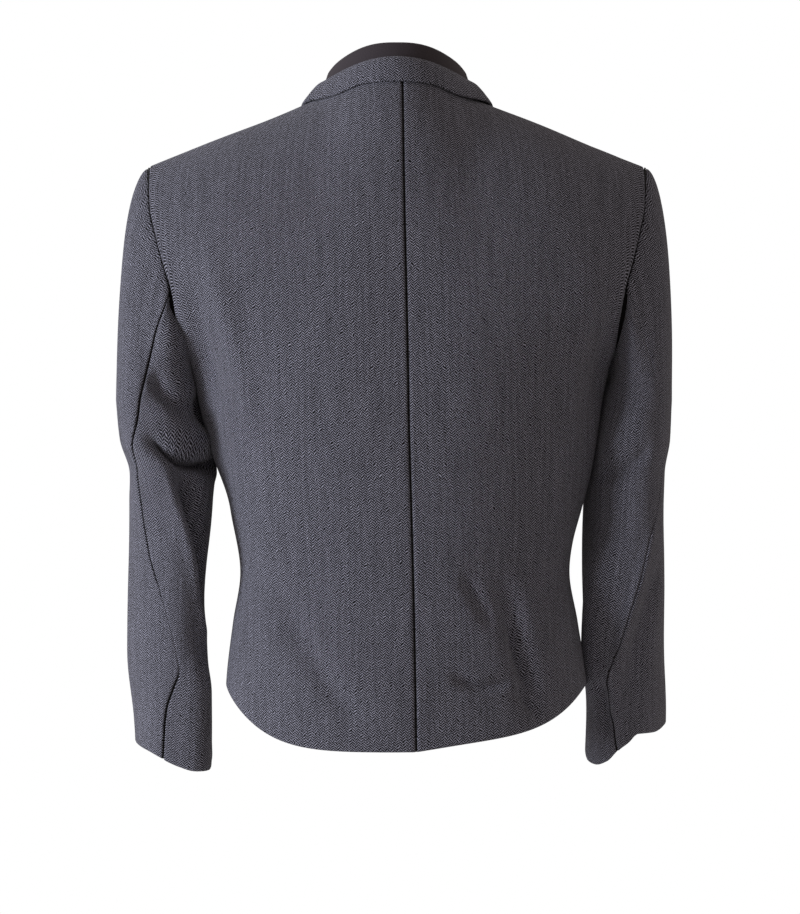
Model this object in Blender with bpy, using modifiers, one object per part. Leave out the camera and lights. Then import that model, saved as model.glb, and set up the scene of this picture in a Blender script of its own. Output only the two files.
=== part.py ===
"""Short wool blazer, shaped as it hangs when worn, hollow and empty.

The front faces -Y and the back +Y, and the wearer's left is +X. The origin lies between the shoulders, at the
height where the shoulder seams meet the collar.
"""

import math
from collections import namedtuple

import bmesh
import bpy
import numpy as np
from mathutils import Vector

# Cloth and seams, in metres
CLOTH = 0.0016
SEAM_GAP = 0.0004
ARMHOLE_GAP = 0.0023
LAY_GAP = 0.0008
STAND_CLEAR = 0.0010

# Body: half outlines at each height. Width and depth are measured from the ring's own middle, which sways to
# the wearer's right lower down, and the centre back seam sways a little more.
BodyRow = namedtuple("BodyRow", "height half_width back front sway centre_seam")
BODY = [
    BodyRow(-0.600, 0.167, 0.111, 0.107, -0.0055, -0.0145),
    BodyRow(-0.530, 0.164, 0.115, 0.111, -0.0050, -0.0135),
    BodyRow(-0.470, 0.156, 0.104, 0.106, -0.0045, -0.0125),
    BodyRow(-0.425, 0.149, 0.096, 0.102, -0.0045, -0.0115),
    BodyRow(-0.370, 0.1580, 0.100, 0.108, -0.0040, -0.0100),
    BodyRow(-0.335, 0.1645, 0.106, 0.114, -0.0030, -0.0090),
    BodyRow(-0.300, 0.1720, 0.111, 0.120, -0.0020, -0.0080),
    BodyRow(-0.240, 0.1860, 0.117, 0.124, 0.0, -0.0070),
    BodyRow(-0.170, 0.232, 0.117, 0.119, 0.0018, -0.0055),
    BodyRow(-0.100, 0.246, 0.113, 0.108, 0.0027, -0.0040),
    BodyRow(0.030, 0.252, 0.102, 0.095, 0.0027, -0.0020),
]
NECK_SWAY = 0.0027
UNDERARM = -0.240
SQUARENESS = 2.25
CREST = 2.2

# Shoulder line and back neck
NECK_SIDE = 0.072
NECK_RISE = 0.052
NECK_BACK_HEIGHT = 0.022
SHOULDER_END = 0.2255
SHOULDER_SLOPE = 0.397
SHOULDER_AT_NECK = 0.0039
SHOULDER_FORWARD = 0.006

# Armhole: distance of the seam from the middle on each face
ArmholeRow = namedtuple("ArmholeRow", "height back front")
ARMHOLE = [
    ArmholeRow(-0.240, 0.1860, 0.1860),
    ArmholeRow(-0.222, 0.1915, 0.1880),
    ArmholeRow(-0.196, 0.1980, 0.1905),
    ArmholeRow(-0.170, 0.2035, 0.1935),
    ArmholeRow(-0.146, 0.2110, 0.1955),
    ArmholeRow(-0.120, 0.2180, 0.2020),
    ArmholeRow(-0.095, 0.2235, 0.2100),
    ArmholeRow(-0.057, 0.2255, 0.2255),
]

# Hem: lowest at the centre back, cut higher at the sides
HEM_BACK = -0.578
HEM_SIDE_RISE = 0.050
HEM_RIGHT_LIFT = 0.012
HEM_FRONT_DIP = 0.014

# Front opening: the wearer's right front laps over the left
OVERLAP = 0.018
UNDERLAP_INSET = 0.0032
BREAK_HEIGHT = -0.330
BREAK_SIDE = 0.012
GORGE_HEIGHT = -0.064

# Lapel, from the break up to its tip, and the roll where the cloth turns over
LAPEL_TIP = (0.137, -0.082)
LAPEL_NOTCH = (0.092, -0.0622)
LAPEL_BELLY = 0.010
ROLL_RADIUS = 0.0030
LAPEL_SETTLE = 0.030

# Collar: the black stand rises from the neck seam, and the fall is sewn to its outside and turns down
CollarRow = namedtuple("CollarRow", "station stand_height stand_lean fall_share edge_side edge_height puff")
COLLAR = [
    CollarRow(0.00, 0.0265, 0.009, 0.48, 0.000, 0.0110, 0.75),
    CollarRow(0.17, 0.0280, 0.008, 0.46, 0.030, 0.0095, 0.70),
    CollarRow(0.33, 0.0275, 0.008, 0.50, 0.055, 0.0010, 0.50),
    CollarRow(0.50, 0.0225, 0.008, 0.62, 0.086, -0.0020, 0.25),
    CollarRow(0.66, 0.0170, 0.006, 0.80, 0.091, -0.0180, 0.40),
    CollarRow(0.83, 0.0120, 0.004, 0.86, 0.100, -0.0390, 0.55),
    CollarRow(1.00, 0.0070, 0.002, 0.90, 0.111, -0.0590, 0.65),
]
SIDE_STATION = 0.5

# Sleeves: outline of each section below the cap, measured from the middle of the jacket, and how far its back
# end is turned outwards
SleeveRow = namedtuple("SleeveRow", "height outer inner back front turn")
SLEEVE_LEFT = [
    SleeveRow(-0.270, 0.2565, 0.1815, 0.058, -0.066, 0.12),
    SleeveRow(-0.305, 0.2530, 0.1725, 0.057, -0.061, 0.12),
    SleeveRow(-0.335, 0.2455, 0.1680, 0.053, -0.060, 0.05),
    SleeveRow(-0.360, 0.2475, 0.1700, 0.050, -0.062, -0.07),
    SleeveRow(-0.420, 0.2495, 0.1730, 0.043, -0.067, -0.25),
    SleeveRow(-0.500, 0.2510, 0.1760, 0.030, -0.073, -0.27),
    SleeveRow(-0.560, 0.2455, 0.1740, 0.019, -0.079, -0.17),
    SleeveRow(-0.610, 0.2425, 0.1725, 0.010, -0.084, -0.07),
]
SLEEVE_RIGHT = [
    SleeveRow(-0.270, 0.2465, 0.1815, 0.058, -0.066, 0.12),
    SleeveRow(-0.305, 0.2440, 0.1745, 0.057, -0.061, 0.15),
    SleeveRow(-0.335, 0.2385, 0.1705, 0.053, -0.060, 0.20),
    SleeveRow(-0.360, 0.2380, 0.1680, 0.050, -0.062, 0.22),
    SleeveRow(-0.420, 0.2400, 0.1675, 0.043, -0.067, 0.14),
    SleeveRow(-0.500, 0.2420, 0.1690, 0.030, -0.073, -0.10),
    SleeveRow(-0.560, 0.2450, 0.1700, 0.019, -0.079, -0.17),
    SleeveRow(-0.610, 0.2455, 0.1700, 0.010, -0.084, -0.08),
]
CuffRow = namedtuple("CuffRow", "height outer_rise front_rise")
CUFFS = {"left": CuffRow(-0.5925, 0.010, 0.004), "right": CuffRow(-0.584, 0.018, 0.003)}
CAP_PUFF = 0.060
CAP_TURN_DOWN = 0.90
CAP_FOLLOW = 0.02
UNDERARM_LIFT = 0.02

# Sleeve seams: angle round the sleeve from its outer side, 90 degrees at the back, 180 next to the body
SeamRow = namedtuple("SeamRow", "height left right")
HIND_SEAM = [
    SeamRow(-0.170, 107, 104),
    SeamRow(-0.198, 102, 100),
    SeamRow(-0.245, 92, 84),
    SeamRow(-0.286, 74, 62),
    SeamRow(-0.320, 51, 48),
    SeamRow(-0.345, 44, 48),
    SeamRow(-0.375, 44, 58),
    SeamRow(-0.405, 46, 75),
    SeamRow(-0.451, 68, 86),
    SeamRow(-0.492, 88, 95),
    SeamRow(-0.508, 92, 104),
    SeamRow(-0.524, 84, 111),
    SeamRow(-0.548, 73, 111),
    SeamRow(-0.566, 71, 102),
    SeamRow(-0.592, 71, 98),
]
FORE_SEAM_ANGLE = 235

# Buttons on the right front
BUTTON_RADIUS = 0.010
BUTTON_THICKNESS = 0.0036
BUTTON_BEVEL = 0.0012
BUTTON_HEIGHTS = (-0.352, -0.440)

# Mesh density: strips across and along each piece
BACK_NECK_STRIPS = 7
BODY_STRIPS = 8
SKIRT_ROWS = 10
CHEST_ROWS = 7
LAPEL_STRIPS = 7
LAPEL_ROWS = 10
ROLL_STRIPS = 3
COLLAR_ROWS = 4
COLLAR_STRIPS = 28
CAP_ROWS = 6
ARM_ROWS = 12
UPPER_SLEEVE_STRIPS = 11
UNDER_SLEEVE_STRIPS = 7
BUTTON_SIDES = 32
EDGE_STRIP = 0.02

BACK, FRONT = 1, -1
LEFT, RIGHT = 1, -1
SIDE_NAMES = {LEFT: "left", RIGHT: "right"}


def curve(rows, column, at):
    """Value of a table's column, on a smooth curve through its rows; the first column is the place."""
    places = np.array([row[0] for row in rows])
    values = np.array([getattr(row, column) for row in rows], float)
    if places[0] > places[-1]:
        places, values = places[::-1], values[::-1]
    rates = np.diff(values) / np.diff(places)
    before, after = rates[:-1], rates[1:]
    same_way = before * after > 0
    bends = np.where(same_way, 2 * before * after / np.where(same_way, before + after, 1), 0)
    slopes = np.concatenate([rates[:1], bends, rates[-1:]])
    k = int(np.clip(np.searchsorted(places, at) - 1, 0, len(places) - 2))
    span = places[k + 1] - places[k]
    t = float(np.clip((at - places[k]) / span, 0, 1))
    start = (1 + 2 * t) * (1 - t) ** 2 * values[k] + t * (1 - t) ** 2 * span * slopes[k]
    end = t * t * (3 - 2 * t) * values[k + 1] + t * t * (t - 1) * span * slopes[k + 1]
    return float(start + end)


def mix(a, b, share):
    return a + (b - a) * share


def ramp(share):
    """Smooth step from 0 to 1."""
    share = min(max(share, 0.0), 1.0)
    return share * share * (3 - 2 * share)


def thin_ends(share, strips):
    """Makes the first and last strips of a piece narrow, so that its seam edges face square to the cloth."""
    strip = 1 / strips
    return float(np.interp(share, [0, strip, 1 - strip, 1], [0, EDGE_STRIP, 1 - EDGE_STRIP, 1]))


# The body's form: its depth at any place seen from the front or the back


def shoulder_height(side):
    return SHOULDER_AT_NECK - SHOULDER_SLOPE * (side - NECK_SIDE)


def crest(side, face):
    """Height and depth of the line that the body's surface rounds over to, which rises behind the neck."""
    if side >= NECK_SIDE:
        return shoulder_height(side), -SHOULDER_FORWARD * (side - NECK_SIDE) / (SHOULDER_END - NECK_SIDE)
    inwards = 1 - (side / NECK_SIDE) ** 2
    rise = NECK_RISE * inwards**2 if face == BACK else 0.0
    return SHOULDER_AT_NECK + SHOULDER_SLOPE * NECK_SIDE / 2 * inwards + rise, 0.0


def back_edge(side):
    """Height of the back's top edge: the neck seam, then the shoulder seam."""
    if side >= NECK_SIDE:
        return shoulder_height(side)
    return mix(NECK_BACK_HEIGHT, SHOULDER_AT_NECK, (side / NECK_SIDE) ** 2)


def body_depth(x, height, face):
    """Y of the body's outer surface at a place of the front or the back."""
    half_width = curve(BODY, "half_width", height)
    half_depth = curve(BODY, "back" if face == BACK else "front", height)
    side = abs(x - curve(BODY, "sway", height))
    across = min(side / half_width, 1.0)
    depth = face * half_depth * (1 - across**SQUARENESS) ** (1 / SQUARENESS)
    if height > UNDERARM:
        crest_height, crest_depth = crest(side, face)
        rise = min((height - UNDERARM) / (crest_height - UNDERARM), 1.0)
        depth = mix(crest_depth, depth, math.sqrt(1 - rise**CREST))
    return depth + face * SEAM_GAP / 2


def body_point(x, height, face):
    return Vector((x, body_depth(x, height, face), height))


def body_normal(x, height, face):
    """Outward direction of the body's surface, by small steps across and up it."""
    step = 0.002
    across = body_point(x + step, height, face) - body_point(x - step, height, face)
    up = body_point(x, height + step, face) - body_point(x, height - step, face)
    normal = across.cross(up).normalized()
    return normal if normal.y * face > 0 else -normal


def hem_height(angle, face, side):
    """Height of the hem at an angle round from the centre back or front to the side seam."""
    if face == FRONT:
        return HEM_BACK + HEM_SIDE_RISE - HEM_FRONT_DIP * math.cos(angle) ** 2
    lift = HEM_RIGHT_LIFT * math.sin(2 * angle) if side == RIGHT else 0.0
    return HEM_BACK + HEM_SIDE_RISE * math.sin(angle) ** 5 + lift


def roll_line(height):
    """Distance from the middle to the line that the lapel and collar turn over on."""
    share = (height - BREAK_HEIGHT) / (SHOULDER_AT_NECK - BREAK_HEIGHT)
    return mix(BREAK_SIDE, NECK_SIDE, share)


# Making a piece: a grid bent to its form, then thickened inwards


def cloth_piece(name, strips, rows, place, inside, material, thickness=CLOTH):
    """Bends a grid to place(across, up), both 0 to 1, and gives it the cloth's thickness towards inside."""
    mesh = bmesh.new()
    bmesh.ops.create_grid(mesh, x_segments=strips, y_segments=rows, size=1)
    for vertex in mesh.verts:
        vertex.co = place((vertex.co.x + 1) / 2, (vertex.co.y + 1) / 2)
    mesh.normal_update()
    outward = sum(face.normal.dot(face.calc_center_median() - inside) for face in mesh.faces)
    if outward < 0:
        bmesh.ops.reverse_faces(mesh, faces=mesh.faces)
    data = bpy.data.meshes.new(name)
    mesh.to_mesh(data)
    mesh.free()
    data.shade_smooth()
    data.materials.append(material)
    piece = bpy.data.objects.new(name, data)
    parts.objects.link(piece)
    wall = piece.modifiers.new("Cloth", "SOLIDIFY")
    wall.thickness = thickness
    wall.offset = -1
    wall.use_even_offset = True
    return piece


def cloth_material(name, colour, roughness):
    material = bpy.data.materials.new(name)
    material.use_nodes = True
    shader = material.node_tree.nodes["Principled BSDF"]
    shader.inputs["Base Color"].default_value = (*colour, 1)
    shader.inputs["Roughness"].default_value = roughness
    shader.inputs["Metallic"].default_value = 0
    return material


# Backs and fronts


def chest_split(up):
    """Share of the way up the skirt, below the underarm, and of the way up the chest above it."""
    split = SKIRT_ROWS / (SKIRT_ROWS + CHEST_ROWS)
    chest = thin_ends(max((up - split) / (1 - split), 0.0), CHEST_ROWS) if up > split else 0.0
    return min(up / split, 1.0), math.sin(chest * math.pi / 2)


def centre_edge(height, side):
    """X of a back piece's edge along the centre seam."""
    return curve(BODY, "centre_seam", height) + side * SEAM_GAP * 0.75


def back_top(share, side):
    """Height of the back's top edge, share of the way from the centre seam to the shoulder end."""
    height = SHOULDER_AT_NECK
    for _ in range(4):
        x = mix(centre_edge(height, side), NECK_SWAY + side * SHOULDER_END, share)
        height = back_edge(abs(x - NECK_SWAY))
    return height


def strip_angle(across, side):
    """Angle round from the centre, with one strip line on the corner where the neck meets the shoulder."""
    start = side * (centre_edge(SHOULDER_AT_NECK, side) - NECK_SWAY)
    neck = math.asin((NECK_SIDE - start) / (SHOULDER_END - start))
    split = BACK_NECK_STRIPS / (BACK_NECK_STRIPS + BODY_STRIPS)
    if across <= split:
        return math.asin(math.sin(neck) * math.sin(across / split * math.pi / 2))
    return mix(neck, math.pi / 2, thin_ends((across - split) / (1 - split), BODY_STRIPS))


def side_edge(height, face):
    """Outer edge of a body piece: the side seam, and above the underarm the armhole."""
    if height <= UNDERARM:
        return curve(BODY, "half_width", height)
    return curve(ARMHOLE, "back" if face == BACK else "front", height)


def back_piece(side):
    def place(across, up):
        angle = strip_angle(across, side)
        share = math.sin(angle)
        skirt, chest = chest_split(up)
        if chest == 0:
            height = mix(hem_height(angle, BACK, side), UNDERARM, skirt)
            edge_height = height
        else:
            height = mix(UNDERARM, back_top(share, side), chest)
            edge_height = mix(UNDERARM, shoulder_height(SHOULDER_END), chest)
        start = centre_edge(height, side)
        end = curve(BODY, "sway", height) + side * side_edge(edge_height, BACK)
        return body_point(mix(start, end, share), height, BACK)

    name = f"back_{SIDE_NAMES[side]}"
    return cloth_piece(name, BACK_NECK_STRIPS + BODY_STRIPS, SKIRT_ROWS + CHEST_ROWS, place, TORSO_MIDDLE, wool)


def front_piece(side):
    def place(across, up):
        angle = thin_ends(across, BODY_STRIPS) * math.pi / 2
        share = math.sin(angle)
        skirt, chest = chest_split(up)
        if chest == 0:
            height = mix(hem_height(angle, FRONT, side), UNDERARM, skirt)
            edge_height = inner_height = height
        else:
            top_side = mix(NECK_SIDE, SHOULDER_END, share)
            height = mix(UNDERARM, shoulder_height(top_side), chest)
            inner_height = mix(UNDERARM, SHOULDER_AT_NECK, chest)
            edge_height = mix(UNDERARM, shoulder_height(SHOULDER_END), chest)
        inner = roll_line(inner_height)
        if inner_height < BREAK_HEIGHT:
            inner = mix(-OVERLAP, BREAK_SIDE, ramp(1 - (BREAK_HEIGHT - inner_height) / OVERLAP))
        sway = curve(BODY, "sway", height)
        x = sway + side * mix(inner, side_edge(edge_height, FRONT), share)
        point = body_point(x, height, FRONT)
        if side == LEFT:
            point.y += UNDERLAP_INSET * ramp((2 * OVERLAP - (x - sway)) / OVERLAP)
        return point

    name = f"front_{SIDE_NAMES[side]}"
    return cloth_piece(name, BODY_STRIPS, SKIRT_ROWS + CHEST_ROWS, place, TORSO_MIDDLE, wool)


# Lapels: turned out of the fronts along the roll line


def lapel_piece(side):
    roll_share = ROLL_STRIPS / LAPEL_STRIPS

    def outline(up, out):
        """Place of a lapel point seen from the front, out from the roll line to the free edge."""
        height = mix(BREAK_HEIGHT, GORGE_HEIGHT, up)
        edge_x = mix(BREAK_SIDE, LAPEL_TIP[0], up)
        edge_z = mix(BREAK_HEIGHT, LAPEL_TIP[1], up)
        belly = LAPEL_BELLY * math.sin(math.pi * up)
        x = mix(roll_line(height), edge_x + belly, out)
        notch = (LAPEL_NOTCH[0] - roll_line(GORGE_HEIGHT)) / (LAPEL_TIP[0] - roll_line(GORGE_HEIGHT))
        dip = ramp((out - notch) / (1 - notch)) * (LAPEL_TIP[1] - LAPEL_NOTCH[1]) * up**4
        lift = (LAPEL_NOTCH[1] - GORGE_HEIGHT) * min(out / notch, 1) * up**4
        return x, mix(height, mix(edge_z, height, up**4), out) + dip + lift

    def place(across, up):
        turn = min(across / roll_share, 1.0) * math.pi
        out = max((across - roll_share) / (1 - roll_share), 0.0)
        x, height = outline(mix(0.03, 1, up), out)
        sway = curve(BODY, "sway", height)
        reach = -ROLL_RADIUS * math.sin(turn) * ramp(up / 0.1)
        lift = ROLL_RADIUS * (1 - math.cos(turn))
        far = x - roll_line(height)
        rest = CLOTH + LAY_GAP
        lift = mix(lift, min(lift, rest), ramp(far / LAPEL_SETTLE)) if out > 0 else lift
        x = sway + side * (x + reach - SEAM_GAP * math.cos(turn / 2))
        return body_point(x, height, FRONT) + body_normal(x, height, FRONT) * lift

    below = TORSO_MIDDLE + Vector((side * 0.06, 0, 0.10))
    return cloth_piece(f"lapel_{SIDE_NAMES[side]}", LAPEL_STRIPS, LAPEL_ROWS, place, below, wool)


# Collar: stations run from the centre back, round the neck and down the roll line to the gorge


def neck_seam(station):
    """Point of the neck seam on the wearer's left."""
    if station <= SIDE_STATION:
        side = NECK_SIDE * math.sin(station / SIDE_STATION * math.pi / 2)
        return body_point(NECK_SWAY + side, back_edge(side), BACK)
    share = (station - SIDE_STATION) / (1 - SIDE_STATION)
    height = mix(SHOULDER_AT_NECK, GORGE_HEIGHT, share)
    return body_point(NECK_SWAY + roll_line(height), height, FRONT)


def stand_point(station, share):
    """Point of the stand's outer face on the wearer's left, share of the way up."""
    seam = neck_seam(station)
    rise = curve(COLLAR, "stand_height", station) * share
    lean = curve(COLLAR, "stand_lean", station) * share
    inward = Vector((NECK_SWAY - seam.x, -seam.y - 0.02, 0)).normalized()
    return seam + Vector((0, 0, STAND_CLEAR + rise)) + inward * (lean + LAY_GAP)


def fall_point(station, share):
    """Point of the fall's outer face on the wearer's left, from its seam on the stand down to its free edge."""
    side = curve(COLLAR, "edge_side", station)
    height = curve(COLLAR, "edge_height", station)
    face = BACK if station < SIDE_STATION else FRONT
    height = min(height, shoulder_height(side)) if side > NECK_SIDE else height
    x = NECK_SWAY + side
    edge = body_point(x, height, face) + body_normal(x, height, face) * (CLOTH + 2 * LAY_GAP)
    seam = stand_point(station, curve(COLLAR, "fall_share", station))
    outward = Vector((edge.x - seam.x, edge.y - seam.y, 0))
    seam = seam + outward.normalized() * (CLOTH + 2 * LAY_GAP)
    turn = seam + outward * curve(COLLAR, "puff", station) + Vector((0, 0, 0.001))
    return seam * (1 - share) ** 2 + turn * 2 * share * (1 - share) + edge * share**2


def round_neck(point):
    """Runs a left-hand collar line right round the neck, from the right gorge to the left one."""

    def place(across, up):
        station = abs(2 * across - 1)
        left = point(station, up)
        return left if across >= 0.5 else Vector((2 * NECK_SWAY - left.x, left.y, left.z))

    return place


def collar_pieces():
    inside = Vector((0, 0, 0))
    cloth_piece("collar_stand", COLLAR_STRIPS, COLLAR_ROWS, round_neck(stand_point), inside, black_cloth)
    cloth_piece("collar_fall", COLLAR_STRIPS, COLLAR_ROWS, round_neck(fall_point), inside, wool)


# Sleeves: a cap that grows out of the armhole, then a tube of hanging sections


def armhole_point(angle, side):
    """Point of the armhole seam, from its top, round the back, under the arm and up the front."""
    top, bottom = shoulder_height(SHOULDER_END), UNDERARM
    height = (top + bottom) / 2 + (top - bottom) / 2 * math.cos(angle)
    face = BACK if math.sin(angle) >= 0 else FRONT
    x = curve(BODY, "sway", height) + side * curve(ARMHOLE, "back" if face == BACK else "front", height)
    return body_point(x, height, face)


def armhole_ways(angle, side):
    """Two directions off the armhole seam: on across the body's surface, and straight off that surface."""
    here = armhole_point(angle, side)
    along = armhole_point(angle + 0.02, side) - armhole_point(angle - 0.02, side)
    off_body = body_normal(here.x, here.z, BACK if math.sin(angle) >= 0 else FRONT)
    off_seam = along.cross(off_body).normalized()
    return (off_seam if off_seam.x * side > 0 else -off_seam), off_body


def sleeve_section(rows, height, angle, side):
    outer, inner = curve(rows, "outer", height), curve(rows, "inner", height)
    back, front = curve(rows, "back", height), curve(rows, "front", height)
    turn = curve(rows, "turn", height) * (back - front) / 2
    half_width = math.sqrt(((outer - inner) / 2) ** 2 - turn**2)
    x = (outer + inner) / 2 + half_width * math.cos(angle) + turn * math.sin(angle)
    y = (back + front) / 2 + (back - front) / 2 * math.sin(angle)
    return Vector((side * x, y, height))


def cuff_height(angle, side):
    cuff = CUFFS[SIDE_NAMES[side]]
    return cuff.height + cuff.outer_rise * math.cos(angle) - cuff.front_rise * math.sin(angle)


def cap_point(rows, angle, down, side):
    """Point of the sleeve cap, from the armhole seam down to the first hanging section."""
    start = armhole_point(angle, side)
    end = sleeve_section(rows, rows[0].height, angle, side)
    drop = start.z - end.z
    top = max(math.cos(angle), 0.0)
    leave = Vector((side * (CAP_PUFF * top + 0.012), 0, -drop * (1 - CAP_TURN_DOWN * top**2)))
    off_seam, off_body = armhole_ways(angle, side)
    low = ramp((0.3 - math.cos(angle)) / 0.9)
    start = start + (off_seam * (1 - low) + off_body * low).normalized() * ARMHOLE_GAP
    leave = leave + off_body * (UNDERARM_LIFT * low) + off_seam * (CAP_FOLLOW * (1 - low) * (1 - top))
    arrive = Vector((0, 0, -drop))
    t = down
    place = start * ((1 + 2 * t) * (1 - t) ** 2) + leave * (t * (1 - t) ** 2)
    return place + end * (t * t * (3 - 2 * t)) + arrive * (t * t * (t - 1))


def sleeve_point(rows, angle, down, side):
    """Point of the sleeve's outer face, down from the armhole seam to the cuff."""
    split = CAP_ROWS / (CAP_ROWS + ARM_ROWS)
    if down <= split:
        return cap_point(rows, angle, down / split, side)
    height = mix(rows[0].height, cuff_height(angle, side), (down - split) / (1 - split))
    return sleeve_section(rows, height, angle, side)


def nominal_height(rows, down):
    """Rough height of a ring of the sleeve, for reading the seam table."""
    split = CAP_ROWS / (CAP_ROWS + ARM_ROWS)
    if down <= split:
        return mix(HIND_SEAM[0].height, rows[0].height, down / split)
    return mix(rows[0].height, CUFFS["left"].height, (down - split) / (1 - split))


def sleeve_pieces(side):
    rows = SLEEVE_LEFT if side == LEFT else SLEEVE_RIGHT
    name = SIDE_NAMES[side]
    fore = math.radians(FORE_SEAM_ANGLE)
    gap = SEAM_GAP / 0.042
    middle = sum((Vector((side * (row.outer + row.inner) / 2, 0, row.height)) for row in rows), Vector()) / len(rows)

    def hind(down):
        return math.radians(curve(HIND_SEAM, name, nominal_height(rows, down)))

    def upper(across, up):
        angle = mix(fore - 2 * math.pi + gap, hind(1 - up) - gap, thin_ends(across, UPPER_SLEEVE_STRIPS))
        return sleeve_point(rows, angle, 1 - up, side)

    def under(across, up):
        angle = mix(hind(1 - up) + gap, fore - gap, thin_ends(across, UNDER_SLEEVE_STRIPS))
        return sleeve_point(rows, angle, 1 - up, side)

    upper_inside = middle + Vector((-side * 0.03, 0, 0))
    under_inside = middle + Vector((side * 0.03, 0, 0))
    count = CAP_ROWS + ARM_ROWS
    cloth_piece(f"sleeve_{name}_upper", UPPER_SLEEVE_STRIPS, count, upper, upper_inside, wool)
    cloth_piece(f"sleeve_{name}_under", UNDER_SLEEVE_STRIPS, count, under, under_inside, wool)


# Buttons: flat discs seated on the right front


def button(number, height):
    x = curve(BODY, "sway", height)
    normal = body_normal(x, height, FRONT)
    seat = body_point(x, height, FRONT) + normal * (SEAM_GAP + BUTTON_THICKNESS / 2)
    bpy.ops.mesh.primitive_cylinder_add(
        vertices=BUTTON_SIDES, radius=BUTTON_RADIUS, depth=BUTTON_THICKNESS, location=seat
    )
    disc = bpy.context.object
    disc.name = f"button_{number}"
    disc.rotation_euler = normal.to_track_quat("Z", "Y").to_euler()
    disc.data.materials.append(horn)
    disc.data.shade_smooth()
    rim = disc.modifiers.new("Rim", "BEVEL")
    rim.width = BUTTON_BEVEL
    rim.segments = 2
    for collection in disc.users_collection:
        collection.objects.unlink(disc)
    parts.objects.link(disc)


for old in list(bpy.data.objects):
    bpy.data.objects.remove(old)
parts = bpy.data.collections.new("wool blazer")
bpy.context.scene.collection.children.link(parts)
wool = cloth_material("charcoal herringbone wool", (0.085, 0.083, 0.098), 0.85)
black_cloth = cloth_material("black collar cloth", (0.022, 0.019, 0.022), 0.7)
horn = cloth_material("dark horn", (0.03, 0.027, 0.026), 0.35)
TORSO_MIDDLE = Vector((0, 0, -0.3))

for wearer_side in (LEFT, RIGHT):
    back_piece(wearer_side)
    front_piece(wearer_side)
    lapel_piece(wearer_side)
    sleeve_pieces(wearer_side)
collar_pieces()
for count, button_height in enumerate(BUTTON_HEIGHTS, 1):
    button(count, button_height)
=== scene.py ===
"""Short waisted blazer in charcoal herringbone wool with a black collar stand, hanging as worn and hollow.

The front faces -Y and the back +Y, and the wearer's left is +X. Sizes are in metres, but the tables of
folds are in millimetres.
"""

import math
from collections import namedtuple

import bpy
import numpy as np
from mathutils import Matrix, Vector


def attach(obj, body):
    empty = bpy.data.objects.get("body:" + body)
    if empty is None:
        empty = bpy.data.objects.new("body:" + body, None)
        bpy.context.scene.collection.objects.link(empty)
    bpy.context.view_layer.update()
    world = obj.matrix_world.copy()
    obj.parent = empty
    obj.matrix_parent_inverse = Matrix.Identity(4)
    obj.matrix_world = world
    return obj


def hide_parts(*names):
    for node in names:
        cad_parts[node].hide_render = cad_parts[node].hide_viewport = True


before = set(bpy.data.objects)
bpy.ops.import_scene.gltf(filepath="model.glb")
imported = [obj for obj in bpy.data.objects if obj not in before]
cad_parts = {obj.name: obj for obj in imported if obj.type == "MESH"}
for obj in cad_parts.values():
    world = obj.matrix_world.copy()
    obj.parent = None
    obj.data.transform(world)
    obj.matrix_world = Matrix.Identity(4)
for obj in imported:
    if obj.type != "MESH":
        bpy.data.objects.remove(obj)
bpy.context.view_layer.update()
scene = bpy.context.scene

# Camera
# It stands level behind the jacket at the height of its middle, with a long lens, square to the back.
CAMERA_PLACE = (0.0, 2.6, -0.321)
CAMERA_LENS_MM = 112.65
SENSOR_WIDTH_MM = 36
camera_data = bpy.data.cameras.new("camera")
camera_data.lens = CAMERA_LENS_MM
camera_data.sensor_width = SENSOR_WIDTH_MM
camera = bpy.data.objects.new("camera", camera_data)
camera.location = CAMERA_PLACE
camera.rotation_euler = (math.pi / 2, 0, math.pi)
scene.collection.objects.link(camera)
scene.camera = camera

# Backs
# Two panels of herringbone wool meet at the centre back seam. They are sewn to the fronts at the shoulders
# and sides, shaped in at the waist, and the cloth hangs from the shoulders in a few soft folds.
BACK, FRONT = 1, -1
LEFT, RIGHT = 1, -1
SIDE_NAMES = {LEFT: "left", RIGHT: "right"}
CLOTH = 0.0016
SEAM_OVERLAP = 0.0001
TORSO_MIDDLE = (0.0, 0.0, -0.3)


def table(columns, *rows):
    """A table with named columns, whose first one is the place."""
    Row = namedtuple("Row", columns)
    return [Row(*row) for row in rows]


BODY = table(
    "height half_width back front sway centre_seam",
    (-0.600, 0.167, 0.111, 0.107, -0.0055, -0.0145),
    (-0.530, 0.164, 0.115, 0.111, -0.0050, -0.0135),
    (-0.470, 0.156, 0.104, 0.106, -0.0045, -0.0125),
    (-0.425, 0.149, 0.096, 0.102, -0.0045, -0.0115),
    (-0.370, 0.1580, 0.100, 0.108, -0.0040, -0.0100),
    (-0.335, 0.1645, 0.106, 0.114, -0.0030, -0.0090),
    (-0.300, 0.1720, 0.111, 0.120, -0.0020, -0.0080),
    (-0.240, 0.1860, 0.117, 0.124, 0.0, -0.0070),
    (-0.170, 0.232, 0.117, 0.119, 0.0018, -0.0055),
    (-0.100, 0.246, 0.113, 0.108, 0.0027, -0.0040),
    (0.030, 0.252, 0.102, 0.095, 0.0027, -0.0020),
)
NECK_SWAY = 0.0027
UNDERARM = -0.240
SQUARENESS = 2.25
CREST = 2.2
NECK_SIDE = 0.072
NECK_RISE = 0.052
NECK_BACK_HEIGHT = 0.022
SHOULDER_END = 0.2255
SHOULDER_SLOPE = 0.397
SHOULDER_AT_NECK = 0.0039
SHOULDER_FORWARD = 0.006

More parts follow.
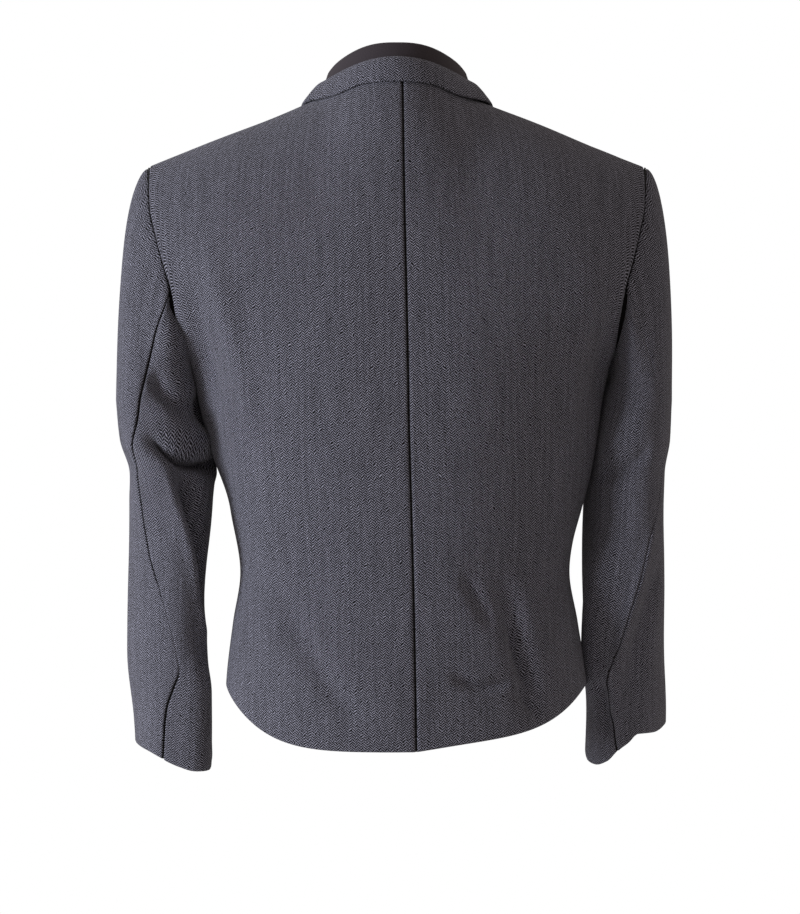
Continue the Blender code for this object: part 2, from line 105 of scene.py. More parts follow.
ARMHOLE = table(
    "height back front",
    (-0.240, 0.1860, 0.1860),
    (-0.222, 0.1915, 0.1880),
    (-0.196, 0.1980, 0.1905),
    (-0.170, 0.2035, 0.1935),
    (-0.146, 0.2110, 0.1955),
    (-0.120, 0.2180, 0.2020),
    (-0.095, 0.2235, 0.2100),
    (-0.057, 0.2255, 0.2255),
)
HEM_BACK = -0.578
HEM_SIDE_RISE = 0.050
HEM_RIGHT_LIFT = 0.012
HEM_FRONT_DIP = 0.014

MM = 0.001
Fold = namedtuple("Fold", "width lift path")


def fold_table(*rows, across=MM):
    """Soft folds: how far each spreads to both sides, how far it lifts the cloth, and its path.

    The rows are in millimetres, and a path has (across, up) places; across is the length of one step across.
    """
    return [Fold(width * MM, lift * MM, np.array(path) * (across, MM)) for width, lift, path in rows]


BACK_FOLDS = {
    LEFT: fold_table(
        (18, 6.5, [(202, -165), (194, -200), (183.6, -236), (175, -275), (158, -370)]),
        (13, 4.2, [(175, -125), (160, -165), (150, -205), (140, -250), (126, -310)]),
        (12, -3.4, [(192, -150), (180, -190), (170, -235), (160, -285)]),
        (12, -4.6, [(112, -430), (96, -462), (74, -500), (48, -540), (28, -572)]),
        (30, -2, [(120, -400), (90, -425), (50, -440)]),
    ),
    RIGHT: fold_table(
        (4.8, -6, [(-40, -510), (-58, -518), (-74, -521), (-104, -515)]),
        (11, -7.8, [(-86, -415), (-96, -455), (-108, -505), (-128, -572)]),
        (6, -4.6, [(-52, -422), (-66, -443), (-80, -465), (-86, -475)]),
        (5, -5.2, [(-97, -458), (-101, -476), (-106, -496), (-114.5, -520), (-119, -532)]),
        (4.5, -4.6, [(-99, -520), (-112, -537), (-125, -554)]),
        (16, 1.5, [(-110, -430), (-124, -490), (-144, -560)]),
        (18, 6, [(-202, -165), (-192, -205), (-183, -240), (-173, -285), (-156, -400)]),
        (14, -3, [(-196, -160), (-184, -215), (-174, -270), (-162, -320)]),
        (18, 2.5, [(-178, -130), (-164, -190), (-152, -250), (-142, -310)]),
        (30, -1.8, [(-50, -440), (-90, -425), (-120, -400)]),
    ),
}
SEAM_ROLL = 0.0026
SEAM_ROLL_WIDTH = 0.0011
HEM_ROLL = 0.0007
# painted shade darkens the seams, from a small share of the full roll on
SEAM_SHADE_GAIN = 2.2
SEAM_SHADE_START = 0.3
FOLD_FADE = 0.3

# Lines of the meshes: those close to a seam, the gap to the next one, and the usual step
CLOSE_LINES = (0.0, 0.0003, 0.0006, 0.0010, 0.0014, 0.0020)
NEXT_LINE = 0.001
MESH_STEP = 0.003
NECK_RUN = 0.075
SHOULDER_RUN = 0.19
BACK_SKIRT = 0.33
CHEST = 0.26

# Waviness of hanging cloth: long ripples that cross each other, in radians to a metre, and the hem's own wave
Ripple = namedtuple("Ripple", "across up turn size")
RIPPLES = [
    Ripple(41, 13, 1.0, 1.0),
    Ripple(-23, 37, 2.1, 1.0),
    Ripple(67, -9, 3.3, 0.6),
    Ripple(17, -59, 0.7, 0.5),
]
RIPPLE_HEIGHT = 0.00035
HEM_WAVE = Ripple(30, 0, 0.6, 0.0016)
HEM_WAVE_TOP = -0.45
HEM_WAVE_FADE = 0.12
SMOOTH_DEGREES = 50


def curve(rows, column, at):
    """Values of a table's column, on a smooth curve through its rows."""
    places = np.array([row[0] for row in rows])
    values = np.array([getattr(row, column) for row in rows], float)
    if places[0] > places[-1]:
        places, values = places[::-1], values[::-1]
    rates = np.diff(values) / np.diff(places)
    before, after = rates[:-1], rates[1:]
    same_way = before * after > 0
    bends = np.where(same_way, 2 * before * after / np.where(same_way, before + after, 1), 0)
    slopes = np.concatenate([rates[:1], bends, rates[-1:]])
    k = np.clip(np.searchsorted(places, at) - 1, 0, len(places) - 2)
    span = places[k + 1] - places[k]
    t = np.clip((at - places[k]) / span, 0, 1)
    start = (1 + 2 * t) * (1 - t) ** 2 * values[k] + t * (1 - t) ** 2 * span * slopes[k]
    end = t * t * (3 - 2 * t) * values[k + 1] + t * t * (t - 1) * span * slopes[k + 1]
    return start + end


def mix(a, b, share):
    return a + (b - a) * share


def ramp(share):
    """Smooth step from 0 to 1."""
    share = np.clip(share, 0, 1)
    return share * share * (3 - 2 * share)


def unit(vectors):
    return vectors / np.maximum(np.linalg.norm(vectors, axis=-1, keepdims=True), 1e-9)


def point(x, y, z):
    return np.stack(np.broadcast_arrays(x, y, z), axis=-1).astype(float)


def shoulder_height(side):
    return SHOULDER_AT_NECK - SHOULDER_SLOPE * (side - NECK_SIDE)


def crest(side, face):
    """Height and depth of the line that the body's surface rounds over to, which rises behind the neck."""
    inwards = np.maximum(1 - (side / NECK_SIDE) ** 2, 0)
    rise = np.where(face == BACK, NECK_RISE * inwards**2, 0)
    at_neck = SHOULDER_AT_NECK + SHOULDER_SLOPE * NECK_SIDE / 2 * inwards + rise
    height = np.where(side >= NECK_SIDE, shoulder_height(side), at_neck)
    forward = np.maximum(side - NECK_SIDE, 0) / (SHOULDER_END - NECK_SIDE)
    return height, -SHOULDER_FORWARD * forward


def back_edge(side):
    """Height of the back's top edge: the neck seam, then the shoulder seam."""
    neck = mix(NECK_BACK_HEIGHT, SHOULDER_AT_NECK, (side / NECK_SIDE) ** 2)
    return np.where(side >= NECK_SIDE, shoulder_height(side), neck)


def body_depth(x, height, face):
    """Y of the body's outer surface at places of the front or the back."""
    half_width = curve(BODY, "half_width", height)
    half_depth = np.where(face == BACK, curve(BODY, "back", height), curve(BODY, "front", height))
    side = np.abs(x - curve(BODY, "sway", height))
    across = np.minimum(side / half_width, 1.0)
    depth = face * half_depth * (1 - across**SQUARENESS) ** (1 / SQUARENESS)
    crest_height, crest_depth = crest(side, face)
    rise = np.clip((height - UNDERARM) / (crest_height - UNDERARM), 0, 1)
    return mix(crest_depth, depth, np.sqrt(1 - rise**CREST)) - face * SEAM_OVERLAP


def body_point(x, height, face):
    return point(x, body_depth(x, height, face), height)


def body_normal(x, height, face):
    """Outward direction of the body's surface, by small steps across and up it."""
    step = 0.002
    across = body_point(x + step, height, face) - body_point(x - step, height, face)
    up = body_point(x, height + step, face) - body_point(x, height - step, face)
    normal = unit(np.cross(across, up))
    return normal * np.sign(normal[..., 1:2] * np.reshape(face, np.shape(face) + (1,)))


def hem_height(angle, face, side):
    """Height of the hem at an angle round from the centre back or front to the side seam."""
    if face == FRONT:
        return HEM_BACK + HEM_SIDE_RISE - HEM_FRONT_DIP * np.cos(angle) ** 2
    lift = HEM_RIGHT_LIFT * np.sin(2 * angle) if side == RIGHT else 0.0
    return HEM_BACK + HEM_SIDE_RISE * np.sin(angle) ** 5 + lift


def side_edge(height, face):
    """Outer edge of a body panel: the side seam, and above the underarm the armhole."""
    armhole = curve(ARMHOLE, "back" if face == BACK else "front", height)
    return np.where(height <= UNDERARM, curve(BODY, "half_width", height), armhole)


def mesh_lines(length, step=MESH_STEP, close_start=True, close_end=True):
    """Shares along a length of cloth for the lines of its mesh, with close ones at a seam or an edge."""
    close = np.array(CLOSE_LINES)
    first = close if close_start else close[:1]
    last = close if close_end else close[:1]
    count = max(round(length / step), 2)
    middle = np.linspace(first[-1] + NEXT_LINE, length - last[-1] - NEXT_LINE, count)
    return np.concatenate([first, middle, length - last[::-1]]) / length


def travel(points, axis):
    """Length along the cloth from the first line of its mesh."""
    steps = np.linalg.norm(np.diff(points, axis=axis), axis=-1)
    return np.insert(np.cumsum(steps, axis=axis), 0, 0, axis=axis)


def outward(points, inside):
    """Directions square to the cloth, pointing away from the inside."""
    normal = unit(np.cross(np.gradient(points, axis=1), np.gradient(points, axis=0)))
    return normal if np.sum(normal * (points - np.array(inside))) > 0 else -normal


def rounded(path):
    """Cuts the corners off a path until it is a smooth line."""
    path = np.array(path, float)
    for _ in range(3):
        first, last = path[:-1], path[1:]
        cut = np.stack([mix(first, last, 0.25), mix(first, last, 0.75)], axis=1).reshape(-1, path.shape[1])
        path = np.concatenate([path[:1], cut, path[-1:]])
    return path


def folded(folds, across, up):
    """How far a piece's folds lift its cloth: most on each path, fading to both sides and both ends."""
    lift = np.zeros(across.shape)
    for fold in folds:
        path = rounded(fold.path)
        steps = np.linalg.norm(np.diff(path, axis=0), axis=1)
        lengths = np.insert(np.cumsum(steps), 0, 0)
        nearest = np.full(across.shape, np.inf)
        along = np.zeros(across.shape)
        for start, end, before, step in zip(path, path[1:], lengths, steps):
            run = end - start
            share = np.clip(((across - start[0]) * run[0] + (up - start[1]) * run[1]) / (run @ run), 0, 1)
            gap = np.hypot(across - start[0] - share * run[0], up - start[1] - share * run[1])
            along = np.where(gap < nearest, (before + share * step) / lengths[-1], along)
            nearest = np.minimum(gap, nearest)
        ends = ramp(along / FOLD_FADE) * ramp((1 - along) / FOLD_FADE)
        lift += fold.lift * ends * np.exp(-((nearest / fold.width) ** 2))
    return lift


def on_cloth(path, x, height, flat):
    """Carries a path seen square on to the same places of the flat cloth."""
    found = [np.argmin((x - place[0]) ** 2 + (height - place[1]) ** 2) for place in path]
    return flat.reshape(-1, 2)[found]


def uneven(across, up, turn):
    """Slight waviness of hanging cloth; turn moves the ripples along."""
    waves = [r.size * np.sin(r.across * across + r.up * up + r.turn * turn) for r in RIPPLES]
    return RIPPLE_HEIGHT * sum(waves)


def rolled_edges(points, depths):
    """Turns the cloth in along its seams and edges: left, right, bottom and top of its mesh."""
    across, up = travel(points, 1), travel(points, 0)
    gaps = [across, across[:, -1:] - across, up, up[-1:] - up]
    return -sum(depth * np.exp(-((gap / SEAM_ROLL_WIDTH) ** 2)) for gap, depth in zip(gaps, depths))


Fabric = namedtuple("Fabric", "word material slot")


def cloth_piece(fabric, node, points, weave_map, edges, inside, **cut):
    """Makes the piece of cloth that stands for a solid, from the outer face of its shape, thickened inwards.

    weave_map is its weave's own map, edges says how far each place is turned in along a seam or an edge, and
    cut, its flat size, how it is held and what it rests on, is not used.
    """
    normal = np.cross(points[:-1, 1:] - points[:-1, :-1], points[1:, :-1] - points[:-1, :-1])
    if np.sum(normal * (points[:-1, :-1] - np.array(inside))) < 0:
        points, weave_map, edges = points[:, ::-1], weave_map[:, ::-1], edges[:, ::-1]
    rows, strips = points.shape[:2]
    bpy.ops.object.select_all(action="DESELECT")
    bpy.ops.mesh.primitive_grid_add(x_subdivisions=strips - 1, y_subdivisions=rows - 1, size=1)
    piece = bpy.context.object
    piece.name = piece.data.name = f"{fabric.word}_{node}"
    piece.data.vertices.foreach_set("co", points.reshape(-1))
    weave = piece.data.uv_layers.active
    weave.name = "weave"
    corners = np.empty(len(piece.data.loops), int)
    piece.data.loops.foreach_get("vertex_index", corners)
    weave.uv.foreach_set("vector", weave_map.reshape(-1, 2)[corners].reshape(-1).astype(np.float32))
    # painted shade: how far the cloth's colour is darkened along its rolled seams and edges
    painted_seam_shade = piece.data.attributes.new("painted_seam_shade", "FLOAT", "POINT")
    seam_shade_share = ramp(-SEAM_SHADE_GAIN * edges / SEAM_ROLL - SEAM_SHADE_START)
    painted_seam_shade.data.foreach_set("value", seam_shade_share.reshape(-1).astype(np.float32))
    piece.data.materials.append(fabric.material)
    piece.data.update()
    wall = piece.modifiers.new("cloth", "SOLIDIFY")
    wall.thickness = CLOTH
    wall.offset = -1
    wall.use_even_offset = False
    bpy.ops.object.modifier_apply(modifier="cloth")
    bpy.ops.object.shade_smooth_by_angle(angle=math.radians(SMOOTH_DEGREES))
    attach(piece, "root")
    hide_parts(node)


def linear(code):
    """Linear colour of an sRGB hex value."""
    parts = [int(code[i : i + 2], 16) / 255 for i in (1, 3, 5)]
    return tuple(c / 12.92 if c <= 0.04045 else ((c + 0.055) / 1.055) ** 2.4 for c in parts) + (1.0,)


def new_material(name):
    """Makes a material and gives it with its main shader."""
    material = bpy.data.materials.new(name)
    material.use_nodes = True
    return material, material.node_tree.nodes["Principled BSDF"]


def set_inputs(material, node, inputs):
    """Gives each socket of a node a value or the socket it reads."""
    for socket, value in inputs.items():
        if isinstance(value, bpy.types.NodeSocket):
            material.node_tree.links.new(value, node.inputs[socket])
        else:
            node.inputs[socket].default_value = value


def add_node(material, kind, inputs, **settings):
    """Adds a node, whose properties are the settings, and gives its outputs."""
    node = material.node_tree.nodes.new(kind)
    for name, value in settings.items():
        setattr(node, name, value)
    set_inputs(material, node, inputs)
    return node.outputs


def add_math(material, operation, *values):
    return add_node(material, "ShaderNodeMath", dict(enumerate(values)), operation=operation)[0]


def add_noise(material, place, scale, detail, roughness=0.5):
    """Adds flat noise over a map of the weave."""
    inputs = {"Vector": place, "Scale": scale, "Detail": detail, "Roughness": roughness}
    return add_node(material, "ShaderNodeTexNoise", inputs, noise_dimensions="2D")["Fac"]


def add_mix(material, share, first, second, blend="MIX"):
    inputs = {0: share, 6: first, 7: second}
    return add_node(material, "ShaderNodeMix", inputs, data_type="RGBA", blend_type=blend)[2]


def add_range(material, value, low, high, start=0.0, end=1.0, way="LINEAR"):
    """Adds a node that carries the values from low to high over to those from start to end."""
    inputs = {"Value": value, "From Min": low, "From Max": high, "To Min": start, "To Max": end}
    return add_node(material, "ShaderNodeMapRange", inputs, interpolation_type=way)["Result"]


def add_bump(material, height, strength, distance):
    inputs = {"Height": height, "Strength": strength, "Distance": distance}
    return add_node(material, "ShaderNodeBump", inputs)["Normal"]


# Herringbone wool: a brushed woollen tweed, whose light and dark yarns make fine slanting lines that turn the
# other way from column to column, each column's lines starting halfway between its neighbour's. Loose fibres
# blur them and the yarn varies in long streaks.
WOOL_LIGHT = "#b0b0be"
WOOL_DARK = "#0d0c0e"
# colour of the painted shade in the seams
WOOL_SEAM_SHADE = "#0b090a"
COLUMN = 0.0026
LINE_PITCH = 0.0023
DRIFT_ACROSS = 0.0022
DRIFT_UP = 0.0020
FUZZ = 2.4
STREAK_STRETCH = (1.0, 0.05, 1.0)
wool, wool_shader = new_material("herringbone wool")
weave_map = add_node(wool, "ShaderNodeUVMap", {}, uv_map="weave")["UV"]
weave_place = add_node(wool, "ShaderNodeSeparateXYZ", {0: weave_map})
drift = add_noise(wool, weave_map, scale=140.0, detail=2.0)
drift_across = add_math(wool, "MULTIPLY_ADD", drift, DRIFT_ACROSS, weave_place["X"])
zigzag = add_math(wool, "PINGPONG", drift_across, COLUMN)
line_place = add_math(wool, "MULTIPLY_ADD", zigzag, LINE_PITCH / COLUMN, weave_place["Y"])
column_number = add_math(wool, "FLOOR", add_math(wool, "DIVIDE", drift_across, COLUMN))
every_other = add_math(wool, "FRACT", add_math(wool, "MULTIPLY", column_number, 0.5))
line_step = add_math(wool, "MULTIPLY_ADD", every_other, LINE_PITCH, line_place)
line_shift = add_math(wool, "MULTIPLY_ADD", drift, DRIFT_UP, line_step)
twill = add_math(wool, "SINE", add_math(wool, "MULTIPLY", line_shift, 2 * math.pi / LINE_PITCH))
fibre = add_noise(wool, weave_map, scale=900.0, detail=3.0, roughness=0.7)
yarn_height = add_math(wool, "ADD", twill, add_math(wool, "MULTIPLY_ADD", fibre, FUZZ, -FUZZ / 2))
yarn_share = add_range(wool, yarn_height, 0.08, 1.16, way="SMOOTHSTEP")
yarn_colour = add_mix(wool, yarn_share, linear(WOOL_DARK), linear(WOOL_LIGHT))
streak_map = add_node(wool, "ShaderNodeMapping", {"Vector": weave_map, "Scale": STREAK_STRETCH})["Vector"]
streak = add_noise(wool, streak_map, scale=300.0, detail=3.0)
streak_shade = add_range(wool, streak, 0.3, 0.7, start=0.86, end=1.15)
streaked = add_mix(wool, 1.0, yarn_colour, streak_shade, blend="MULTIPLY")
# painted shade: the wool darkens towards near black where the cloth turns into a seam and shade falls in the
# groove
painted_seam_shade = add_node(wool, "ShaderNodeAttribute", {}, attribute_name="painted_seam_shade")["Fac"]
set_inputs(wool, wool_shader, {
    "Base Color": add_mix(wool, painted_seam_shade, streaked, linear(WOOL_SEAM_SHADE)),
    "Normal": add_bump(wool, yarn_height, strength=0.5, distance=0.0003),
    "Roughness": 0.92,
    "Specular IOR Level": 0.2,
    "Sheen Weight": 0.12,
    "Sheen Roughness": 0.5,
})
WOOL = Fabric("wool", wool, "wool")


def centre_edge(height, side):
    """X of a back panel's edge along the centre seam."""
    return curve(BODY, "centre_seam", height) - side * SEAM_OVERLAP


def back_top(share, side):
    """Height of the back's top edge, share of the way from the centre seam to the shoulder end."""
    height = np.full(share.shape, SHOULDER_AT_NECK)
    for _ in range(4):
        x = mix(centre_edge(height, side), NECK_SWAY + side * SHOULDER_END, share)
        height = back_edge(np.abs(x - NECK_SWAY))
    return height


def hanging_weave(points, middle_row):
    """Map of a hanging panel's weave: level length out from its first line, and length up from one row."""
    across = travel(points * np.array([1, 1, 0]), 1)
    up = travel(points * np.array([0, 1, 1]), 0)
    return np.stack([across, up - up[middle_row : middle_row + 1]], axis=-1)


def panel_rows(hem, skirt_length):
    """Gives a function for the heights of a panel's rows up to a top edge, and its row at the underarm."""
    low = mix(hem, UNDERARM, mesh_lines(skirt_length, close_end=False)[:, None])
    chest = np.sin(mesh_lines(CHEST, close_start=False)[1:, None] * math.pi / 2)
    return lambda top: np.concatenate([low, mix(UNDERARM, top, chest) + 0 * low[:1]]), len(low) - 1


def back_panel(side):
    start = side * (centre_edge(SHOULDER_AT_NECK, side) - NECK_SWAY)
    neck = math.asin((NECK_SIDE - start) / (SHOULDER_END - start))
    to_neck = mesh_lines(NECK_RUN, close_end=False) * neck
    from_neck = mix(neck, math.pi / 2, mesh_lines(SHOULDER_RUN, close_start=False))
    angle = np.concatenate([to_neck, from_neck[1:]])[None, :]
    share = np.sin(angle)
    heights_to, underarm_row = panel_rows(hem_height(angle, BACK, side), BACK_SKIRT)
    height = heights_to(back_top(share, side))
    edge_height = heights_to(shoulder_height(SHOULDER_END))
    end = curve(BODY, "sway", height) + side * side_edge(edge_height, BACK)
    x = mix(centre_edge(height, side), end, share)
    points = body_point(x, height, BACK)
    flat = hanging_weave(points, underarm_row)
    folds = [fold._replace(path=on_cloth(fold.path, x, height, flat)) for fold in BACK_FOLDS[side]]
    lift = folded(folds, flat[..., 0], flat[..., 1]) + uneven(x, height, turn=1.0)
    flare = ramp((HEM_WAVE_TOP - height) / HEM_WAVE_FADE)
    lift += flare * HEM_WAVE.size * np.sin(HEM_WAVE.across * x + HEM_WAVE.turn)
    normal = outward(points, TORSO_MIDDLE)
    edges = rolled_edges(points, (SEAM_ROLL, SEAM_ROLL, HEM_ROLL, SEAM_ROLL))
    return points + normal * (lift + edges)[..., None], flat, edges


# The cut of each back, flat: its widest and longest size, and its area without what is cut away
BACK_CUT = (0.257, 0.631)
BACK_CUT_AREA = 0.134
for side, name in SIDE_NAMES.items():
    cloth_piece(
        WOOL, f"back_{name}", *back_panel(side), TORSO_MIDDLE,
        flat=BACK_CUT, held="hung", rests_on=[f"front_{name}"], area=BACK_CUT_AREA,
    )

# Fronts
# One panel of the same wool each side. The wearer's right front laps over the left one below the break, and
# each panel's front edge turns outwards above it as the lapel.
OVERLAP = 0.018
UNDERLAP_INSET = 0.0032
BREAK_HEIGHT = -0.330
BREAK_SIDE = 0.012
GORGE_HEIGHT = -0.064
FRONT_RUN = 0.26
FRONT_SKIRT = 0.31
FLAT_EDGE = 0.03
FRONT_FOLDS = {
    LEFT: fold_table(
        (16, -2.5, [(165, -170), (160, -220), (150, -280), (132, -340)]),
        (14, -2.5, [(60, -400), (85, -420), (125, -430)]),
        (18, -2.5, [(95, -450), (105, -500), (118, -550)]),
        (12, 5, [(186, -185), (183, -220), (176, -260), (168, -310), (160, -360)]),
    ),
    RIGHT: fold_table(
        (16, -2.5, [(-162, -165), (-158, -215), (-146, -275), (-128, -335)]),
        (14, -2.5, [(-50, -405), (-80, -420), (-122, -425)]),
        (18, -2.5, [(-90, -445), (-104, -495), (-120, -545)]),
        (12, 5, [(-186, -185), (-183, -220), (-176, -260), (-168, -310), (-160, -360)]),
    ),
}


def roll_line(height):
    """Distance from the middle to the line that the lapel and collar turn over on."""
    return mix(BREAK_SIDE, NECK_SIDE, (height - BREAK_HEIGHT) / (SHOULDER_AT_NECK - BREAK_HEIGHT))


def front_panel(side):
    angle = mesh_lines(FRONT_RUN)[None, :] * math.pi / 2
    share = np.sin(angle)
    heights_to, underarm_row = panel_rows(hem_height(angle, FRONT, side), FRONT_SKIRT)
    height = heights_to(shoulder_height(mix(NECK_SIDE, SHOULDER_END, share)))
    inner_height = heights_to(SHOULDER_AT_NECK)
    edge_height = heights_to(shoulder_height(SHOULDER_END))
    lapped = mix(-OVERLAP, BREAK_SIDE, ramp(1 - (BREAK_HEIGHT - inner_height) / OVERLAP))
    inner = np.where(inner_height < BREAK_HEIGHT, lapped, roll_line(inner_height))
    sway = curve(BODY, "sway", height)
    x = sway + side * mix(inner, side_edge(edge_height, FRONT), share)
    points = body_point(x, height, FRONT)
    if side == LEFT:
        points[..., 1] += UNDERLAP_INSET * ramp((2 * OVERLAP - (x - sway)) / OVERLAP)
    flat = hanging_weave(points, underarm_row)
    flat[..., 0] += inner[:, :1]
    lift = folded(FRONT_FOLDS[side], x, height)
    lift += uneven(x, height, turn=4.0) * ramp((side * (x - sway) - FLAT_EDGE) / FLAT_EDGE)
    edges = rolled_edges(points, (HEM_ROLL, SEAM_ROLL, HEM_ROLL, SEAM_ROLL))
    return points + outward(points, TORSO_MIDDLE) * (lift + edges)[..., None], flat, edges


FRONT_CUT = (0.241, 0.594)
FRONT_CUT_AREA = 0.111
for side, name in SIDE_NAMES.items():
    cloth_piece(
        WOOL, f"front_{name}", *front_panel(side), TORSO_MIDDLE,
        flat=FRONT_CUT, held="hung", rests_on=[f"back_{name}"], area=FRONT_CUT_AREA,
    )

# Lapels
# The facing of each front edge, in the same wool. It turns over on the roll line, lies on the chest and ends
# in a notch under the collar.
LAPEL_TIP = (0.137, -0.082)
LAPEL_NOTCH = (0.092, -0.0622)
LAPEL_BELLY = 0.010
ROLL_RADIUS = 0.0030
LAPEL_SETTLE = 0.030
LAY_GAP = 0.0008
LAPEL_CLEAR = 0.0004
LAPEL_START = 0.03
LAPEL_RUN = 0.08
LAPEL_LENGTH = 0.27
ACROSS_STEP = 0.0025
ALONG_STEP = 0.0028
TURN_LINES = 9
ROLL_FADE = 0.1
LAPEL_INSIDE = (0.06, 0.0, -0.2)


def lapel_outline(up, out):
    """Place of a lapel point seen from the front, out from the roll line to the free edge."""
    height = mix(BREAK_HEIGHT, GORGE_HEIGHT, up)
    edge_x = mix(BREAK_SIDE, LAPEL_TIP[0], up) + LAPEL_BELLY * np.sin(math.pi * up)
    edge_z = mix(BREAK_HEIGHT, LAPEL_TIP[1], up)
    notch = (LAPEL_NOTCH[0] - roll_line(GORGE_HEIGHT)) / (LAPEL_TIP[0] - roll_line(GORGE_HEIGHT))
    near_top = up**4
    dip = ramp((out - notch) / (1 - notch)) * (LAPEL_TIP[1] - LAPEL_NOTCH[1]) * near_top
    lift = (LAPEL_NOTCH[1] - GORGE_HEIGHT) * np.minimum(out / notch, 1) * near_top
    return mix(roll_line(height), edge_x, out), mix(height, mix(edge_z, height, near_top), out) + dip + lift


def lapel(side):
    turning = np.linspace(0, 1, TURN_LINES)
    lying = mesh_lines(LAPEL_RUN, ACROSS_STEP, close_start=False)[1:]
    turn = np.concatenate([turning, np.ones(len(lying))])[None, :] * math.pi
    out = np.concatenate([np.zeros(len(turning)), lying])[None, :]
    up = mesh_lines(LAPEL_LENGTH, ALONG_STEP)[:, None]
    x, height = lapel_outline(mix(LAPEL_START, 1, up), out)
    reach = -ROLL_RADIUS * np.sin(turn) * ramp(up / ROLL_FADE)
    lift = ROLL_RADIUS * (1 - np.cos(turn)) + 0 * x
    settled = mix(lift, np.minimum(lift, CLOTH + LAY_GAP), ramp((x - roll_line(height)) / LAPEL_SETTLE))
    lift = np.where(out > 0, settled, lift)
    x = curve(BODY, "sway", height) + side * (x + reach - LAPEL_CLEAR * np.cos(turn / 2))
    points = body_point(x, height, FRONT) + body_normal(x, height, FRONT) * lift[..., None]
    flat = np.stack([travel(points, 1), travel(points, 0)], axis=-1)
    inside = np.array(LAPEL_INSIDE) * [side, 1, 1]
    edges = rolled_edges(points, (0, HEM_ROLL, HEM_ROLL, HEM_ROLL))
    return points + outward(points, inside) * edges[..., None], flat, edges, inside


LAPEL_CUT = (0.093, 0.287)
LAPEL_CUT_AREA = 0.0161
for side, name in SIDE_NAMES.items():
    cloth_piece(
        WOOL, f"lapel_{name}", *lapel(side),
        flat=LAPEL_CUT, held="folded", rests_on=[f"front_{name}"], area=LAPEL_CUT_AREA,
    )

# Collar
# A stand of smooth black cloth rises from the neck seam, and a fall of the herringbone wool is sewn to its
# outside and turns down over the seam. At the back the stand shows above the fall.
COLLAR = table(
    "station stand_height stand_lean fall_share edge_side edge_height puff",
    (0.00, 0.0265, 0.009, 0.48, 0.000, 0.0110, 0.75),
    (0.17, 0.0280, 0.008, 0.46, 0.030, 0.0095, 0.70),
    (0.33, 0.0275, 0.008, 0.50, 0.055, 0.0010, 0.50),
    (0.50, 0.0225, 0.008, 0.62, 0.086, -0.0020, 0.25),
    (0.66, 0.0170, 0.006, 0.80, 0.091, -0.0180, 0.40),
    (0.83, 0.0120, 0.004, 0.86, 0.100, -0.0390, 0.55),
    (1.00, 0.0070, 0.002, 0.90, 0.111, -0.0590, 0.65),
)
SIDE_STATION = 0.5
STAND_CLEAR = 0.0010
TUCK_DEPTH = 0.0048
TUCK_SHARE = 0.16
NECK_SMOOTHING = 10
NECK_CENTRE = 0.02
FALL_RISE = 0.001
HALF_NECK = 0.19
NECK_STEP = 0.0026
STAND_RUN = 0.027
FALL_RUN = 0.035
COLLAR_STEP = 0.002
NECK_MIDDLE = (0.0, 0.0, 0.0)

# Black collar cloth: a smooth, closely woven melton, with a soft nap and a fine weave that barely shows
MELTON_DARK = "#2c272a"
MELTON_LIGHT = "#484144"
black_cloth, melton_shader = new_material("black melton")
melton_map = add_node(black_cloth, "ShaderNodeUVMap", {}, uv_map="weave")["UV"]
nap = add_noise(black_cloth, melton_map, scale=1100.0, detail=3.0)
set_inputs(black_cloth, melton_shader, {
    "Base Color": add_mix(black_cloth, nap, linear(MELTON_DARK), linear(MELTON_LIGHT)),
    "Normal": add_bump(black_cloth, nap, strength=0.35, distance=0.0002),
    "Roughness": 0.85,
    "Specular IOR Level": 0.25,
    "Sheen Weight": 0.25,
    "Sheen Roughness": 0.4,
})
MELTON = Fabric("melton", black_cloth, "black_cloth")


def neck_seam(station):
    """Points of the neck seam on the wearer's left, from the centre back round and down to the gorge."""
    side = NECK_SIDE * np.sin(np.minimum(station / SIDE_STATION, 1) * math.pi / 2)
    behind = body_point(NECK_SWAY + side, back_edge(side), BACK)
    down = np.maximum((station - SIDE_STATION) / (1 - SIDE_STATION), 0)
    height = mix(SHOULDER_AT_NECK, GORGE_HEIGHT, down)
    before = body_point(NECK_SWAY + roll_line(height), height, FRONT)
    return np.where((station <= SIDE_STATION)[..., None], behind, before)


def stand_point(station, share):
    """Points of the stand's outer face on the wearer's left, share of the way up."""
    seam = neck_seam(station)
    rise = curve(COLLAR, "stand_height", station) * share
    lean = curve(COLLAR, "stand_lean", station) * share
    inward = unit(point(NECK_SWAY - seam[..., 0], -seam[..., 1] - NECK_CENTRE, 0))
    tuck = TUCK_DEPTH * ramp(-share / TUCK_SHARE)
    return seam + point(0, 0, STAND_CLEAR + rise) + inward * (lean + LAY_GAP + tuck)[..., None]


def fall_point(station, share):
    """Points of the fall's outer face on the wearer's left, from its seam on the stand to its free edge."""
    side = curve(COLLAR, "edge_side", station)
    height = curve(COLLAR, "edge_height", station)
    height = np.where(side > NECK_SIDE, np.minimum(height, shoulder_height(side)), height)
    face = np.where(station < SIDE_STATION, BACK, FRONT)
    x = NECK_SWAY + side
    edge = body_point(x, height, face) + body_normal(x, height, face) * (CLOTH + 2 * LAY_GAP)
    seam = stand_point(station, curve(COLLAR, "fall_share", station))
    out = (edge - seam) * np.array([1, 1, 0])
    seam = seam + unit(out) * (CLOTH + 2 * LAY_GAP)
    turn = seam + out * curve(COLLAR, "puff", station)[..., None] + np.array([0, 0, FALL_RISE])
    share = share[..., None]
    return seam * (1 - share) ** 2 + turn * 2 * share * (1 - share) + edge * share**2


